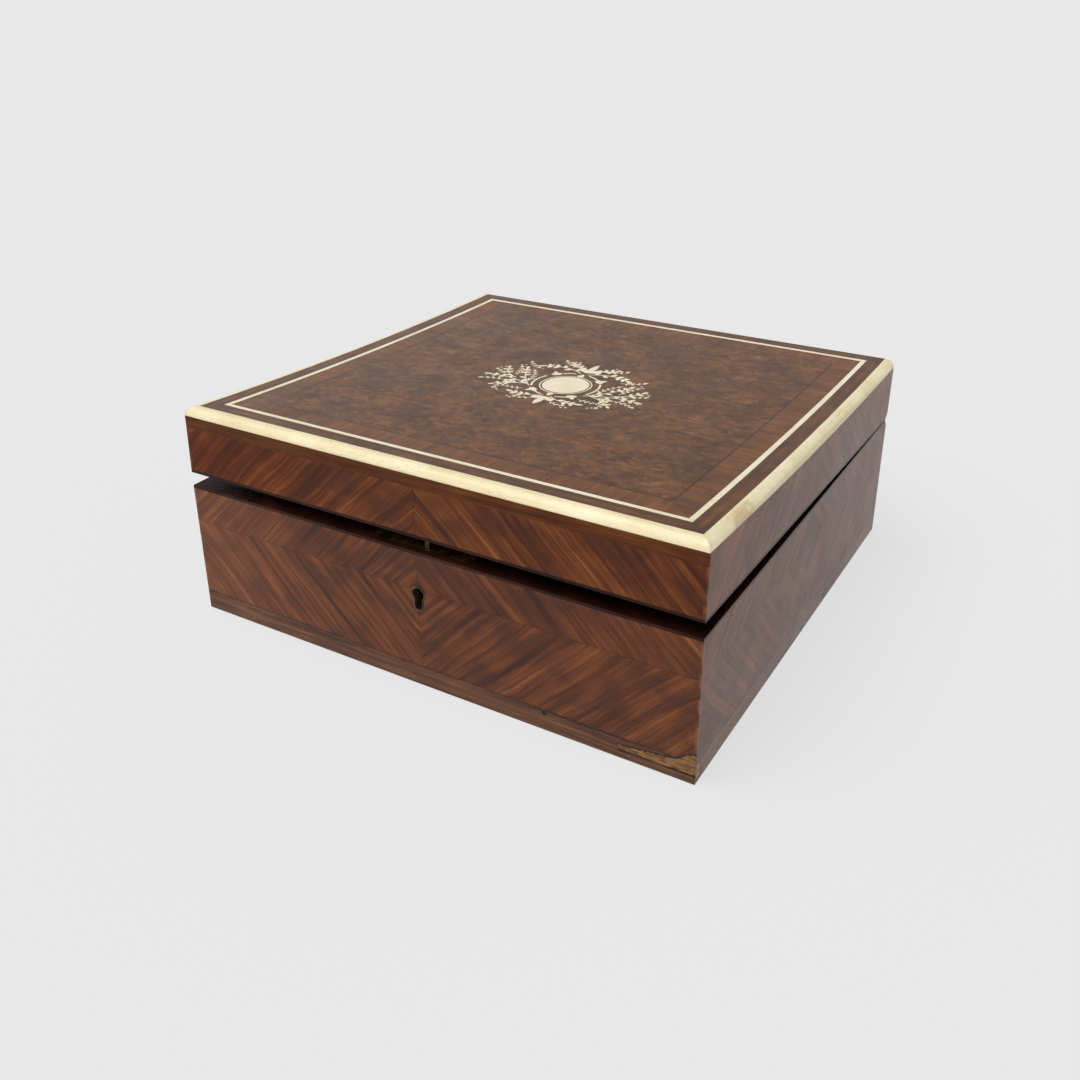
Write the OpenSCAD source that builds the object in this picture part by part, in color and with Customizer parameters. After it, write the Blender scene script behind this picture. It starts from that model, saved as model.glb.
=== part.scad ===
// A square wooden box with a hinged lid, veneered all round. The top is inlaid and
// banded, a rounded bone edging runs along three of its edges, and a box lock in the
// front wall holds the lid by a staple. The origin is the middle of the underside, and
// the front, with the keyhole, faces -Y. All sizes are in millimetres.

/* [Overall size] */
// Width of the box across its front
box_w = 280; // [200:1:340]
// Depth of the box from front to back
box_d = 266; // [190:1:330]
// Height of the base from the table to its rim
base_h = 72.5; // [58:0.5:110]
// Height of the lid from its rim to its top
lid_h = 35; // [26:0.5:60]
// Angle that the lid stands open as stored, in degrees
lid_ajar = 1.5; // [0:0.1:15]
// Gap between the two rims when the lid is shut
rim_gap = 0.3; // [0.2:0.05:0.8]
// Depth by which the top is hollowed from front to back, at its middle
top_sag = 2.4; // [0.8:0.1:4]

/* [Carcass] */
// Thickness of the carcass walls and of the lid's rails
wall_t = 10; // [9.5:0.5:12]
// Thickness of the bottom board
bottom_t = 6; // [4:0.5:9]
// Depth of the rebate in the walls that takes the bottom board
rebate_d = 5; // [3:0.5:7]
// Thickness of the lid's top board at its thinnest
top_t = 6; // [4.5:0.5:9]
// Least distance from one dovetail to the next
tail_pitch = 11.5; // [11:0.5:20]
// Width of a dovetail at its root
tail_w = 6.4; // [5:0.1:6.5]
// Widening of a dovetail along its length, per side
tail_slope = 0.16; // [0.1:0.01:0.16]

/* [Veneers and bandings] */
// Thickness of the veneer on the sides
veneer_t = 1.2; // [0.8:0.1:2]
// Thickness of the veneer and bandings on the top
face_t = 1.2; // [0.8:0.1:2]
// Thickness of the facing on both rims
rim_t = 1.5; // [1.4:0.1:2.5]
// Height of the banding along the foot of the base
foot_h = 11.2; // [6:0.2:18]
// Rounding of the foot's lower outer edge
foot_r = 0.9; // [0.3:0.1:1]
// Height of the banding below the edging on the lid's front
lid_band_h = 6; // [3:0.5:9]
// Width of the bone edging on the top's front and sides
edge_w = 5.4; // [4.6:0.1:8]
// Height of the bone edging, which is also the radius of its rounding
edge_h = 4.4; // [3:0.1:4.5]
// Glue line below the edging along the sides
glue_line = 0.05; // [0.03:0.01:0.1]
// Width of the dark outer banding on the top
outer_band_w = 8.2; // [5:0.1:14]
// Width of the bone stringing
string_w = 2.6; // [1:0.1:4]
// Width of the crossbanding
cross_band_w = 12.2; // [6:0.1:20]
// Width of the dark line inside the crossbanding
dark_line_w = 0.9; // [0.5:0.1:2]
// Hairline at the mitres and ends where two strips meet
joint_gap = 0.06; // [0.04:0.01:0.15]

/* [Inlay] */
// Half the width of the oval cartouche
oval_rx = 12.4; // [9:0.1:14]
// Half the depth of the oval cartouche
oval_ry = 13.4; // [9:0.1:15]
// Space between the cartouche and the line round it
oval_line_gap = 0.9; // [0.6:0.1:1.2]
// Width of the line round the cartouche
oval_line_w = 0.7; // [0.5:0.1:1]
// Half the width of the outer ring
ring_rx = 18; // [17:0.1:20]
// Half the depth of the outer ring
ring_ry = 19.6; // [18:0.1:21]
// Width of the outer ring's line
ring_w = 1.1; // [0.6:0.1:1.4]
// Width of the stems in the foliage
stem_w = 0.7; // [0.5:0.1:1]
// Mastic line round every inlaid piece
inlay_gap = 0.08; // [0.05:0.01:0.15]

/* [Hinges] */
// Length of a hinge along the rim
hinge_l = 32; // [24:1:45]
// Distance of a hinge's middle from the side of the box
hinge_inset = 50; // [30:1:70]
// Distance of the hinge axis from the back face, which is also the depth of the bevels
bevel_d = 3.4; // [3:0.1:3.6]
// Angle of both bevels from the rim plane, in degrees
bevel_angle = 49; // [48:0.5:55]
// Radius of the hinge knuckles
knuckle_r = 2.1; // [1.9:0.1:2.4]
// Radius of the hinge pins
hinge_pin_r = 0.9; // [0.7:0.05:1.1]
// Running clearance round a hinge pin
pin_fit = 0.05; // [0.02:0.01:0.1]
// Thickness of the hinge leaves
leaf_t = 1.1; // [0.8:0.1:1.3]
// Space round a knuckle and between two knuckles
knuckle_gap = 0.35; // [0.3:0.05:0.6]

/* [Lock] */
// Distance of the keyhole's round head below the base's rim
keyhole_below = 22; // [21.5:0.1:23]
// Radius of the keyhole's head
keyhole_r = 3.2; // [2.6:0.1:3.6]
// Width of the keyhole's slot
keyhole_slot = 4; // [3:0.1:4.4]
// Distance from the middle of the head to the foot of the slot
keyhole_drop = 8.4; // [7:0.1:10]
// Wall of the brass liner in the keyhole
liner_t = 0.8; // [0.5:0.1:1.2]
// Distance that the liner stands proud of the veneer
liner_proud = 0.15; // [0:0.05:0.4]
// Half the width of the lock case
case_hw = 22; // [20:0.5:26]
// Height of the lock case below its top plate
case_h = 32; // [32:0.5:36]
// Depth of the space inside the lock case
case_space = 5; // [4.8:0.1:5.4]
// Thickness of the cap and its rims
cap_t = 0.8; // [0.6:0.1:1]
// Thickness of the lock plate and of its top plate
plate_t = 1.2; // [1:0.1:1.4]
// Width of the lock plate's ears beside the case
plate_ear = 6; // [5:0.5:8]
// Side play of the lock case in its mortise
case_fit = 0.1; // [0.05:0.05:0.3]
// Radius of the drill pin that the key's barrel turns on
drill_pin_r = 1.3; // [1:0.1:1.6]
// Distance that the bolt travels when the key is turned
bolt_travel = 4.7; // [4.4:0.1:5.2]
// Clearance round the bolt and the staple
lock_clear = 0.3; // [0.25:0.05:0.5]
// Sideways place of the staple from the middle
staple_x = 2.5; // [0:0.5:4]
// Thickness of the staple along the bolt's travel
staple_t = 2.2; // [1.8:0.1:2.6]

/* [Screws] */
// Radius of a screw's shank
screw_r = 0.8; // [0.6:0.1:1]
// Radius of a screw's head
screw_head_r = 1.6; // [1.4:0.1:1.9]
// Length of the hinge screws
hinge_screw_l = 7; // [5:0.5:9]
// Length of the lock screws
lock_screw_l = 5.5; // [4:0.5:6.5]

/* [Pads] */
// Thickness of the padded floor
floor_pad_t = 5; // [3:0.5:8]
// Thickness of the pad inside the lid
lid_pad_t = 6; // [3:0.5:10]
// Space between a pad and the wood beside it
pad_gap = 0.3; // [0.3:0.05:0.6]

/* [Hidden] */
$fn = 64;

// Half sizes of the outside and of the carcass inside the veneer
half_w = box_w / 2;
half_d = box_d / 2;
body_hw = half_w - veneer_t;
body_hd = half_d - veneer_t;
inner_hw = body_hw - wall_t;
inner_hd = body_hd - wall_t;
rim_w = veneer_t + wall_t;

// Heights of the shut lid
lid_z = base_h + rim_gap;
top_z = lid_z + lid_h;
board_z = top_z - top_sag - face_t - top_t;
edge_z = top_z - edge_h;

// The hollow top: an arc about a line above it, from the front edging to the back
arc_y = edge_w / 2;
arc_half = half_d - arc_y;
arc_r = (arc_half * arc_half + top_sag * top_sag) / (2 * top_sag);
arc_z = top_z - top_sag + arc_r;
arc_steps = 12;
function top_at(y) = arc_z - sqrt(arc_r * arc_r - (y - arc_y) * (y - arc_y));

// Hinge axis, midway between the rims at the mouth of the back bevels
axis_y = half_d - bevel_d;
axis_z = base_h + rim_gap / 2;
hinge_x = half_w - hinge_inset;
knuckle_l = hinge_l / 3;
leaf_y = inner_hd + 0.6;

// Lock, counted inwards from the front wall's inner face
plate_y = -inner_hd - plate_t;
cap_y = plate_y - case_space;
case_y = cap_y - cap_t;
bolt_y = plate_y - case_space / 2;
case_top = base_h - plate_t;
case_foot = case_top - case_h;
selvedge_y = case_y - 0.6;

// Bolt: a thick bar below the staple, and a thin hook whose nose enters its eye
keyhole_z = base_h - keyhole_below;
bolt_bar_h = 3;
bolt_bar_top = keyhole_z + 8;
bolt_bar_t = case_space - 2 * lock_clear;
nose_h = 3.6;
nose_z = bolt_bar_top + 2.4;
nose_t = 1.8;
nose_tip_x = staple_x - staple_t / 2 - 1.1;
hook_x = staple_x - staple_t / 2 - lock_clear - bolt_travel;
hook_w = 4;
staple_w = 4.2;
eye_w = nose_t + 2 * lock_clear;
pillar_r = 1.2;
spring_t = 0.4;

// The field inside the top's bands, and the middle of the inlay on it
field_inset = outer_band_w + string_w + cross_band_w + dark_line_w;
field_hw = half_w - edge_w - field_inset;
field_front = -half_d + edge_w + field_inset;
field_back = half_d - field_inset;
inlay_y = (field_front + field_back) / 2;
mitre = joint_gap / sqrt(2);

// Heights of the floor pad
floor_z = bottom_t + pad_gap;
pad_top = floor_z + floor_pad_t;

// Sprigs on the right-hand side of the inlay, each with the place and heading of its
// foot, the radius and sweep of its stem, the number of its leaves and their length
side_sprigs = [
    [16.4, -10.8, 45, 66, 24, 6, 4.8], [18.6, -9.6, 30, 38, -38, 5, 4.8],
    [29, -3.2, 18, 19, 52, 3, 4.4], [20.4, -9.4, -14, 26, -34, 3, 4.2]];
top_sprigs = [[2.2, 20.6, 40, 20, -68, 5, 5.4], [4, 24.4, 66, 20, -36, 3, 4.6]];
foot_sprigs = [[2.2, -19.8, -44, 17, 58, 4, 4.8]];

// Block between two opposite corners
module block(low, high) {
    translate(low) cube(high - low);
}

// Outline in Y and Z, extruded along X from x0 for a length
module along_x(x0, length) {
    translate([x0, 0, 0]) rotate([90, 0, 90]) linear_extrude(length) children();
}

// The lid's pieces are drawn shut and turned up about the hinge axis
module on_lid() {
    translate([0, axis_y, axis_z]) rotate([-lid_ajar, 0, 0])
        translate([0, -axis_y, -axis_z]) children();
}

// Outline in Y and Z that follows the hollow top, from a depth a to a depth b below it
module under_top(a, b) {
    ys = [for (i = [0 : arc_steps]) half_d * (2 * i / arc_steps - 1)];
    polygon(concat([for (y = ys) [y, top_at(y) - a]],
        [for (i = [arc_steps : -1 : 0]) [ys[i], top_at(ys[i]) - b]]));
}

// A layer of the top: its outline in plan is the child, and its faces are hollow
module top_layer(t) {
    intersection() {
        along_x(-half_w, box_w) under_top(0, t);
        translate([0, 0, board_z]) linear_extrude(lid_h) children();
    }
}

// Side wall's outline in Y and Z, with a row of dovetails on both ends
module tailed_outline(z0, z1) {
    count = max(1, floor((z1 - z0) / tail_pitch));
    pitch = (z1 - z0) / count;
    flare = tail_w / 2 + tail_slope * wall_t;
    tail = [[0, -tail_w / 2], [wall_t, -flare], [wall_t, flare], [0, tail_w / 2]];
    edge = concat([[inner_hd, z0]], [for (i = [0 : count - 1], p = tail)
        [inner_hd + p[0], z0 + (i + 0.5) * pitch + p[1]]], [[inner_hd, z1]]);
    polygon(concat(edge,
        [for (i = [len(edge) - 1 : -1 : 0]) [-edge[i][0], edge[i][1]]]));
}

// Left (-1) or right (1) wall of a carcass
module side_wall(side, z0, z1) {
    along_x(side > 0 ? inner_hw : -body_hw, wall_t) tailed_outline(z0, z1);
}

// Front (-1) or back (1) wall of a carcass, with sockets for the side walls' tails
module end_wall(end, z0, z1) {
    difference() {
        block([-body_hw, end > 0 ? inner_hd : -body_hd, z0],
            [body_hw, end > 0 ? body_hd : -inner_hd, z1]);
        side_wall(-1, z0, z1);
        side_wall(1, z0, z1);
    }
}

// Room for the bottom board, run out below the walls
module bottom_room() {
    block([-inner_hw - rebate_d, -inner_hd - rebate_d, -1],
        [inner_hw + rebate_d, inner_hd + rebate_d, bottom_t]);
}

// Everything above the base's bevel along the back, or below the lid's
module bevel_room(dir) {
    z0 = dir < 0 ? base_h : lid_z;
    reach = bevel_d + 1;
    along_x(-half_w - 1, box_w + 2)
        polygon([[axis_y, z0 - dir], [axis_y, z0],
            [axis_y + reach, z0 + dir * reach * tan(bevel_angle)],
            [axis_y + reach, z0 - dir]]);
}

// Bar along a hinge axis between two places on X
module on_axis(x0, x1, r) {
    translate([x0, axis_y, axis_z]) rotate([0, 90, 0]) cylinder(h = x1 - x0, r = r);
}

// Room for both hinges' leaves and knuckles in a rim
module hinge_room(dir) {
    z0 = dir < 0 ? base_h : lid_z;
    for (side = [-1, 1]) translate([side * hinge_x, 0, 0]) {
        block([-hinge_l / 2 - joint_gap, leaf_y - joint_gap, min(z0, z0 + dir * leaf_t)],
            [hinge_l / 2 + joint_gap, axis_y, max(z0, z0 + dir * leaf_t)]);
        on_axis(-hinge_l / 2 - knuckle_gap, hinge_l / 2 + knuckle_gap,
            knuckle_r + knuckle_gap);
    }
}

// Countersunk screw with its head's face at the origin and its point towards -Z
module screw(length, g = 0) {
    head_h = screw_head_r - screw_r;
    difference() {
        union() {
            translate([0, 0, -head_h])
                cylinder(h = head_h, r1 = screw_r + g, r2 = screw_head_r + g);
            translate([0, 0, -length - g]) cylinder(h = length, r = screw_r + g);
        }
        if (g == 0) block([-screw_head_r, -0.2, -0.35], [screw_head_r, 0.2, 1]);
    }
}

// The hinge screws of one rim, three to a leaf
module hinge_screw_set(dir, g = 0) {
    z0 = dir < 0 ? base_h : lid_z;
    y0 = (leaf_y + axis_y - knuckle_r - knuckle_gap) / 2;
    for (side = [-1, 1], i = [-1 : 1])
        translate([side * hinge_x + i * hinge_l * 0.34, y0, z0])
            rotate([dir < 0 ? 0 : 180, 0, 0]) screw(hinge_screw_l, g);
}

// Four mitred strips round a rectangle of the plan, from 0 at the front, anticlockwise
module mitred_strip(i, hw, y0, y1, s) {
    m = mitre;
    corners = [
        [[-hw + m, y0], [hw - m, y0], [hw - s - m, y0 + s], [-hw + s + m, y0 + s]],
        [[hw, y0 + m], [hw, y1 - m], [hw - s, y1 - s - m], [hw - s, y0 + s + m]],
        [[hw - m, y1], [-hw + m, y1], [-hw + s + m, y1 - s], [hw - s - m, y1 - s]],
        [[-hw, y1 - m], [-hw, y0 + m], [-hw + s, y0 + s + m], [-hw + s, y1 - s - m]]];
    polygon(corners[i]);
}

module mitred_frame(hw, y0, y1, s) {
    for (i = [0 : 3]) mitred_strip(i, hw, y0, y1, s);
}

// A frame of the top's bands, at an inset from the edging and the back
module top_frame(inset, s) {
    top_layer(face_t) mitred_frame(half_w - edge_w - inset, -half_d + edge_w + inset,
            half_d - inset, s);
}

// Keyhole outline in X and Z about the middle of its head
module keyhole_outline(g = 0) {
    circle(keyhole_r + g);
    translate([-keyhole_slot / 2 - g, keyhole_slot / 2 - keyhole_drop])
        square([keyhole_slot + 2 * g, keyhole_drop - keyhole_slot / 2]);
    translate([0, keyhole_slot / 2 - keyhole_drop]) circle(keyhole_slot / 2 + g);
}

// Keyhole prism between two places on Y
module keyhole(y0, y1, g = 0) {
    translate([0, y1, keyhole_z]) rotate([90, 0, 0])
        linear_extrude(y1 - y0) keyhole_outline(g);
}

// Lock screws: four through the plate's ears, and two through its top plate
module lock_screw_set(g = 0) {
    ear_x = case_hw + plate_ear / 2;
    for (side = [-1, 1], z = [case_foot + 4, case_top - 8])
        translate([side * ear_x, -inner_hd, z]) rotate([-90, 0, 0])
            screw(lock_screw_l, g);
    for (side = [-1, 1])
        translate([side * ear_x, bolt_y, base_h]) screw(lock_screw_l, g);
}

// Room for the lock in the front wall and in its rim
module lock_room() {
    hw = case_hw + case_fit;
    block([-hw, case_y - case_fit, case_foot - case_fit], [hw, -inner_hd + 1, base_h]);
    lock_plate_blank(joint_gap);
    keyhole(-half_d - 1, case_y + 1, liner_t + joint_gap);
    lock_screw_set(joint_gap);
}

// The lock plate's two leaves, before its holes
module lock_plate_blank(g = 0) {
    hw = case_hw + plate_ear;
    block([-hw - g, plate_y, case_foot - g], [hw + g, -inner_hd + g, base_h]);
    block([-hw - g, selvedge_y - g, case_top], [hw + g, -inner_hd + g, base_h + g]);
}

// The base

module base_front_wall() {
    color("peru") difference() {
        end_wall(-1, 0, base_h - rim_t);
        bottom_room();
        lock_room();
    }
}

module base_back_wall() {
    color("peru") difference() {
        end_wall(1, 0, base_h - rim_t);
        bottom_room();
        bevel_room(-1);
        hinge_room(-1);
        hinge_screw_set(-1, joint_gap);
    }
}

module base_side_wall(side) {
    color("peru") difference() {
        side_wall(side, 0, base_h - rim_t);
        bottom_room();
        bevel_room(-1);
    }
}

module base_left_wall() {
    base_side_wall(-1);
}

module base_right_wall() {
    base_side_wall(1);
}

module base_bottom_board() {
    color("burlywood")
        block([-inner_hw - rebate_d, -inner_hd - rebate_d, 0],
            [inner_hw + rebate_d, inner_hd + rebate_d, bottom_t]);
}

module base_front_veneer() {
    color("sienna") difference() {
        block([-half_w, -half_d, foot_h], [half_w, -body_hd, base_h - rim_t]);
        keyhole(-half_d - 1, -body_hd + 1, liner_t + joint_gap);
    }
}

module base_back_veneer() {
    color("sienna") difference() {
        block([-half_w, body_hd, foot_h], [half_w, half_d, base_h - rim_t]);
        bevel_room(-1);
        hinge_room(-1);
    }
}

module base_side_veneer(side) {
    color("sienna") difference() {
        block([side > 0 ? body_hw : -half_w, -body_hd, foot_h],
            [side > 0 ? half_w : -body_hw, body_hd, base_h - rim_t]);
        bevel_room(-1);
    }
}

module base_left_veneer() {
    base_side_veneer(-1);
}

module base_right_veneer() {
    base_side_veneer(1);
}

// Outline of a foot banding: outwards on X, with its lower outer edge rounded
module foot_outline() {
    square([veneer_t - foot_r, foot_h]);
    translate([0, foot_r]) square([veneer_t, foot_h - foot_r]);
    intersection() {
        translate([veneer_t - foot_r, foot_r]) circle(foot_r);
        square([veneer_t, foot_r]);
    }
}

// Foot banding along an edge that lies a distance out on +X, cut at 45 degrees
module foot_strip(out, half) {
    intersection() {
        translate([out, half, 0]) rotate([90, 0, 0])
            linear_extrude(2 * half) foot_outline();
        linear_extrude(foot_h)
            polygon([[out - 1, -half + veneer_t + 1 + mitre], [out + veneer_t, -half + mitre],
                [out + veneer_t, half - mitre], [out - 1, half - veneer_t - 1 - mitre]]);
    }
}

module base_foot_banding() {
    color("saddlebrown") for (turn = [0, 180]) rotate([0, 0, turn]) {
        foot_strip(body_hw, half_d);
        rotate([0, 0, 90]) foot_strip(body_hd, half_w);
    }
}

module base_rim_facing() {
    color("maroon") difference() {
        translate([0, 0, base_h - rim_t]) linear_extrude(rim_t)
            mitred_frame(half_w, -half_d, half_d, rim_w);
        bevel_room(-1);
        hinge_room(-1);
        hinge_screw_set(-1, joint_gap);
        lock_room();
    }
}

// The lock

module escutcheon() {
    color("darkkhaki") difference() {
        keyhole(-half_d - liner_proud, case_y - case_fit, liner_t);
        keyhole(-half_d - 1, case_y + 1);
    }
}

module lock_plate() {
    slot_x = staple_t / 2 + 2 * lock_clear;
    slot_y = staple_w / 2 + 2 * lock_clear;
    color("goldenrod") difference() {
        lock_plate_blank();
        block([staple_x - slot_x, bolt_y - slot_y, case_top - 1],
            [staple_x + slot_x, bolt_y + slot_y, base_h + 1]);
        lock_screw_set(joint_gap);
    }
}

module lock_cap() {
    color("goldenrod") difference() {
        block([-case_hw, case_y, case_foot], [case_hw, plate_y, case_top]);
        block([-case_hw + cap_t, cap_y, case_foot + cap_t],
            [case_hw - cap_t, plate_y + 1, case_top + 1]);
        keyhole(case_y - 1, cap_y + 1, lock_clear);
    }
}

// Middles of the pillars in X and Z; the last one guides the bolt
function pillar_places() = [[-case_hw + 4, case_foot + 4], [case_hw - 4, case_foot + 4],
    [case_hw - 4, case_top - 4], [bolt_slot_x(), bolt_bar_top - bolt_bar_h / 2]];
function bolt_slot_x() = -case_hw / 2 - 1;

module lock_pillars() {
    color("goldenrod") for (p = pillar_places())
        translate([p[0], plate_y, p[1]]) rotate([90, 0, 0])
            cylinder(h = case_space, r = p[0] == bolt_slot_x() ? pillar_r / 2 : pillar_r);
}

module lock_drill_pin() {
    color("silver") translate([0, plate_y, keyhole_z]) rotate([90, 0, 0]) {
        cylinder(h = case_space + cap_t, r = drill_pin_r);
        translate([0, 0, case_space + cap_t]) sphere(drill_pin_r);
    }
}

// Leaf spring from the right-hand end of the case down to the bolt's tail
module lock_spring() {
    x1 = case_hw - cap_t;
    foot = bolt_bar_top + lock_clear;
    color("silver") translate([0, bolt_y + 1, 0]) rotate([90, 0, 0]) linear_extrude(2)
        polygon([[x1, foot + 3], [x1, foot + 3 + spring_t], [x1 - 2, foot + 3 + spring_t],
            [x1 - 9, foot + spring_t], [x1 - 11, foot + 1.5], [x1 - 11.4, foot + 1.3],
            [x1 - 9.2, foot], [x1 - 1.8, foot + 3]]);
}

module lock_screws() {
    color("darkgoldenrod") lock_screw_set();
}

// Bolt, drawn back: bar with key talon, guide slot and notches, and the hook above it
module lock_bolt() {
    bar_x0 = -case_hw + cap_t + 1;
    bar_x1 = case_hw - cap_t - bolt_travel - 1.5;
    z0 = bolt_bar_top - bolt_bar_h;
    fit_r = pillar_r / 2 + pin_fit;
    color("gold") difference() {
        union() {
            block([bar_x0, bolt_y - bolt_bar_t / 2, z0],
                [bar_x1, bolt_y + bolt_bar_t / 2, bolt_bar_top]);
            block([hook_x - hook_w, bolt_y - nose_t / 2, z0],
                [hook_x, bolt_y + nose_t / 2, nose_z + nose_h]);
            block([hook_x - hook_w, bolt_y - nose_t / 2, nose_z],
                [nose_tip_x, bolt_y + nose_t / 2, nose_z + nose_h]);
        }
        block([-bolt_travel / 2 - 2.6, bolt_y - bolt_bar_t, z0 - 1],
            [-bolt_travel / 2 + 2.6, bolt_y + bolt_bar_t, z0 + 1.4]);
        translate([bolt_slot_x(), bolt_y + bolt_bar_t, z0 + bolt_bar_h / 2])
            rotate([90, 0, 0]) {
                cylinder(h = 2 * bolt_bar_t, r = fit_r);
                translate([-bolt_travel, 0, 0]) cylinder(h = 2 * bolt_bar_t, r = fit_r);
                translate([-bolt_travel, -fit_r, 0])
                    cube([bolt_travel, 2 * fit_r, 2 * bolt_bar_t]);
            }
        for (x = [0, bolt_travel])
            translate([case_hw - cap_t - 9.1 - x, bolt_y + bolt_bar_t, bolt_bar_top])
                rotate([90, 0, 0]) linear_extrude(2 * bolt_bar_t)
                    polygon([[-0.8, 0.5], [0, -0.5], [0.8, 0.5]]);
    }
}

// The hinges

// One leaf with its knuckles: dir -1 for the base, which has the two outer knuckles
module hinge_leaf(side, dir) {
    z0 = dir < 0 ? base_h : lid_z;
    x0 = -hinge_l / 2;
    own = dir < 0 ? [0, 2] : [1];
    other = dir < 0 ? [1] : [0, 2];
    color("gold") difference() {
        translate([side * hinge_x, 0, 0]) difference() {
            union() {
                block([x0, leaf_y, min(z0, z0 + dir * leaf_t)],
                    [-x0, axis_y, max(z0, z0 + dir * leaf_t)]);
                for (i = own)
                    on_axis(x0 + i * knuckle_l + (i > 0 ? knuckle_gap / 2 : 0),
                        x0 + (i + 1) * knuckle_l - (i < 2 ? knuckle_gap / 2 : 0), knuckle_r);
            }
            for (i = other)
                on_axis(x0 + i * knuckle_l - knuckle_gap / 2 - (i == 0 ? 1 : 0),
                    x0 + (i + 1) * knuckle_l + knuckle_gap / 2 + (i == 2 ? 1 : 0),
                    knuckle_r + knuckle_gap);
            on_axis(x0 - 1, -x0 + 1, hinge_pin_r + pin_fit);
        }
        hinge_screw_set(dir, joint_gap);
    }
}

module left_hinge_base_leaf() {
    hinge_leaf(-1, -1);
}

module right_hinge_base_leaf() {
    hinge_leaf(1, -1);
}

module left_hinge_lid_leaf() {
    on_lid() hinge_leaf(-1, 1);
}

module right_hinge_lid_leaf() {
    on_lid() hinge_leaf(1, 1);
}

module hinge_pin(side) {
    color("darkgoldenrod") translate([side * hinge_x, 0, 0])
        on_axis(-hinge_l / 2, hinge_l / 2, hinge_pin_r);
}

module left_hinge_pin() {
    hinge_pin(-1);
}

module right_hinge_pin() {
    hinge_pin(1);
}

module hinge_base_screws() {
    color("darkgoldenrod") hinge_screw_set(-1);
}

module hinge_lid_screws() {
    color("darkgoldenrod") on_lid() hinge_screw_set(1);
}

// The base's pad

module base_floor_pad() {
    hw = inner_hw - pad_gap;
    hd = inner_hd - pad_gap;
    color("crimson") block([-hw, -hd, floor_z], [hw, hd, pad_top]);
}

// The lid

// Room for the link plate and its staple's screws in the lid's front rail
module link_room() {
    hw = case_hw + plate_ear;
    block([-hw - joint_gap, selvedge_y - joint_gap, lid_z - 1],
        [hw + joint_gap, -inner_hd + 1, lid_z + plate_t]);
    link_screw_set(joint_gap);
}

module link_screw_set(g = 0) {
    for (side = [-1, 1])
        translate([side * (case_hw - 2), bolt_y, lid_z]) rotate([180, 0, 0])
            screw(hinge_screw_l, g);
}

module lid_front_rail() {
    color("peru") on_lid() difference() {
        end_wall(-1, lid_z + rim_t, board_z);
        link_room();
    }
}

module lid_back_rail() {
    color("peru") on_lid() difference() {
        end_wall(1, lid_z + rim_t, board_z);
        bevel_room(1);
        hinge_room(1);
        hinge_screw_set(1, joint_gap);
    }
}

module lid_side_rail(side) {
    color("peru") on_lid() difference() {
        side_wall(side, lid_z + rim_t, board_z);
        bevel_room(1);
    }
}

module lid_left_rail() {
    lid_side_rail(-1);
}

module lid_right_rail() {
    lid_side_rail(1);
}

// Room for the bone edging on the front and sides of the top
module edging_room() {
    block([-half_w - 1, -half_d - 1, edge_z], [half_w + 1, -half_d + edge_w, top_z + 2]);
    for (x = [-half_w - 1, half_w - edge_w])
        along_x(x, edge_w + 1) under_top(-2, edge_h + glue_line);
}

// The top board, flat below and hollow above
module lid_top_board() {
    color("burlywood") on_lid() difference() {
        intersection() {
            along_x(-body_hw, 2 * body_hw)
                under_top(face_t, face_t + top_t + 2 * top_sag);
            block([-body_hw, -body_hd, board_z], [body_hw, body_hd, top_z + 1]);
        }
        edging_room();
    }
}

module lid_front_veneer() {
    color("sienna") on_lid()
        block([-half_w, -half_d, lid_z + rim_t], [half_w, -body_hd, edge_z - lid_band_h]);
}

// Straight-grained strip between the front veneer and the edging
module lid_front_banding() {
    color("saddlebrown") on_lid()
        block([-half_w, -half_d, edge_z - lid_band_h], [half_w, -body_hd, edge_z]);
}

module lid_back_veneer() {
    color("sienna") on_lid() difference() {
        block([-half_w, body_hd, lid_z + rim_t],
            [half_w, half_d, top_at(body_hd) - face_t]);
        bevel_room(1);
        hinge_room(1);
        edging_room();
    }
}

module lid_side_veneer(side) {
    color("sienna") on_lid() difference() {
        intersection() {
            along_x(side > 0 ? body_hw : -half_w, veneer_t)
                under_top(edge_h + glue_line, lid_h + top_sag);
            block([-half_w, -body_hd, lid_z + rim_t], [half_w, body_hd, top_z]);
        }
        bevel_room(1);
    }
}

module lid_left_veneer() {
    lid_side_veneer(-1);
}

module lid_right_veneer() {
    lid_side_veneer(1);
}

module lid_rim_facing() {
    color("maroon") on_lid() difference() {
        translate([0, 0, lid_z]) linear_extrude(rim_t)
            mitred_frame(half_w, -half_d, half_d, rim_w);
        bevel_room(1);
        hinge_room(1);
        hinge_screw_set(1, joint_gap);
        link_room();
    }
}

// The edging's section: inwards on X and down from the top on Y
module edging_outline() {
    intersection() {
        translate([edge_h, -edge_h]) circle(edge_h);
        translate([0, -edge_h]) square(edge_h);
    }
    translate([edge_h, -edge_h]) square([edge_w - edge_h, edge_h]);
}

module front_bone_edging() {
    color("ivory") on_lid() intersection() {
        translate([0, -half_d, top_z]) along_x(-half_w, box_w) edging_outline();
        translate([0, 0, edge_z - 1]) linear_extrude(edge_h + 2)
            mitred_strip(0, half_w, -half_d, half_d, edge_w);
    }
}

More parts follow.
